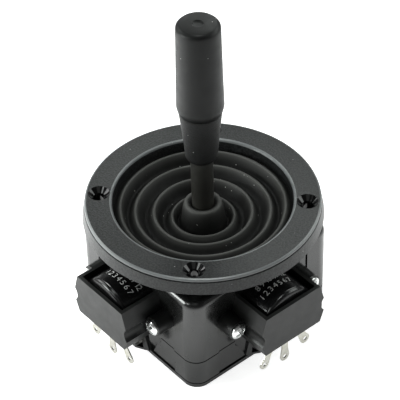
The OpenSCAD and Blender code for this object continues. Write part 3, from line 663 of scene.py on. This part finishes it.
def make_floor():
    """Pale floor under the base that shows white to the camera and keeps the shadow, and in reflections glows
    with a painted pool of light, shaded near the object.
    """
    size = FLOOR_HALF
    mesh = bpy.data.meshes.new("floor")
    corners = [(-size, -size, 0), (size, -size, 0), (size, size, 0), (-size, size, 0)]
    mesh.from_pydata(corners, [], [(0, 1, 2, 3)])
    floor = bpy.data.objects.new("floor", mesh)
    floor.location.z = BASE_Z - 0.02 * MM
    bpy.context.scene.collection.objects.link(floor)
    n = Nodes("floor_paper")
    n.shader.inputs["Roughness"].default_value = 0.9
    n.shader.inputs["Specular IOR Level"].default_value = 0.1
    n.colour(n.mix(n.noise(40, 3), (0.86, 0.86, 0.86), (0.89, 0.89, 0.89)))
    path = n.add("ShaderNodeLightPath")
    mirrored = n.add("ShaderNodeMath", operation="MAXIMUM")
    n.link(path.outputs["Is Glossy Ray"], mirrored.inputs[0])
    n.link(path.outputs["Is Transmission Ray"], mirrored.inputs[1])
    away = n.add("ShaderNodeVectorMath", operation="LENGTH")
    n.link(n.place, away.inputs[0])
    # painted shade near the object and a painted pool of light beyond it, only in the floor's glow for
    # reflected rays
    near = n.ramp(away.outputs["Value"], 0.35, 1.0, FLOOR_NEAR)
    far = n.ramp(away.outputs["Value"], 1.0, 0.35, FLOOR_FAR)
    painted_light_pool = n.add("ShaderNodeMath", operation="MULTIPLY")
    n.link(near, painted_light_pool.inputs[0])
    n.link(far, painted_light_pool.inputs[1])
    dimmed = n.add("ShaderNodeMath", operation="MULTIPLY")
    n.link(mirrored.outputs[0], dimmed.inputs[0])
    n.link(painted_light_pool.outputs[0], dimmed.inputs[1])
    seen = n.add("ShaderNodeMath", operation="MULTIPLY")
    n.link(path.outputs["Is Camera Ray"], seen.inputs[0])
    seen.inputs[1].default_value = FLOOR_SEEN
    strength = n.add("ShaderNodeMath", operation="MAXIMUM")
    n.link(dimmed.outputs[0], strength.inputs[0])
    n.link(seen.outputs[0], strength.inputs[1])
    n.link(strength.outputs[0], n.shader.inputs["Emission Strength"])
    n.shader.inputs["Emission Color"].default_value = (1, 1, 1, 1)
    mesh.materials.append(n.material)


LEFT, AWAY, UP = Vector((-0.631, -0.776, 0)), Vector((-0.776, 0.631, 0)), Vector((0, 0, 1))
# Soft boxes round the object: name, degrees round from the camera's side by the left, degrees up, metres off,
# size in metres, watts
LAMPS = [("left_low", 80, 14, 0.42, 0.16, 1.0),
         ("left_back", 120, 38, 0.5, 0.3, 0.7),
         ("left_front", 55, 34, 0.5, 0.16, 0.3),
         ("right_back", 240, 38, 0.5, 0.3, 0.6),
         ("right", 272, 25, 0.5, 0.26, 0.5),
         ("top", 0, 88, 0.5, 0.16, 0.5),
         ("front", 0, 50, 0.5, 0.28, 0.06),
         ("back_left", 169, 36, 0.33, 0.08, 0.065),
         ("back_right", 194, 46, 0.287, 0.08, 0.08)]
LAMP_TINT = (0.95, 1.0, 0.975)
WASH_SIZE, WASH_WATTS, WASH_HEIGHT = 0.12, 0.14, 0.09
WORLD_LOW, WORLD_HIGH = 0.25, 0.05


def make_lamp(name, around, elevation, distance, size, watts):
    """Round soft box that faces the middle of the bezel."""
    turn, rise = math.radians(around), math.radians(elevation)
    outward = (LEFT * math.sin(turn) - AWAY * math.cos(turn)) * math.cos(rise) + UP * math.sin(rise)
    data = bpy.data.lights.new(name, "AREA")
    data.shape = "DISK"
    data.size = size
    data.energy = watts
    data.color = LAMP_TINT
    lamp = bpy.data.objects.new(name, data)
    lamp.location = UP * BEZEL_TOP.z + outward * distance
    lamp.rotation_mode = "QUATERNION"
    lamp.rotation_quaternion = outward.to_track_quat("Z", "Y")
    bpy.context.scene.collection.objects.link(lamp)


def make_floor_wash():
    """Low soft box to the left that faces the floor, for the bright ground seen in the left-hand surfaces."""
    data = bpy.data.lights.new("floor_wash", "AREA")
    data.shape = "DISK"
    data.size = WASH_SIZE
    data.energy = WASH_WATTS
    lamp = bpy.data.objects.new("floor_wash", data)
    lamp.location = LEFT * 0.15 + AWAY * 0.05 + UP * (BASE_Z + WASH_HEIGHT)
    bpy.context.scene.collection.objects.link(lamp)


def make_world():
    """Dim studio, a little lighter toward the horizon."""
    world = bpy.data.worlds.new("studio")
    world.use_nodes = True
    tree = world.node_tree
    place = tree.nodes.new("ShaderNodeTexCoord").outputs["Generated"]
    split = tree.nodes.new("ShaderNodeSeparateXYZ")
    tree.links.new(place, split.inputs[0])
    fall = tree.nodes.new("ShaderNodeMapRange")
    fall.inputs["From Min"].default_value, fall.inputs["From Max"].default_value = 0.0, 0.6
    fall.inputs["To Min"].default_value, fall.inputs["To Max"].default_value = WORLD_LOW, WORLD_HIGH
    tree.links.new(split.outputs["Z"], fall.inputs["Value"])
    tree.links.new(fall.outputs["Result"], tree.nodes["Background"].inputs["Strength"])
    tree.nodes["Background"].inputs["Color"].default_value = (1, 1, 1, 1)
    bpy.context.scene.world = world


make_floor()
for lamp in LAMPS:
    make_lamp(*lamp)
make_floor_wash()
make_world()
bpy.context.scene.view_settings.view_transform = "Standard"
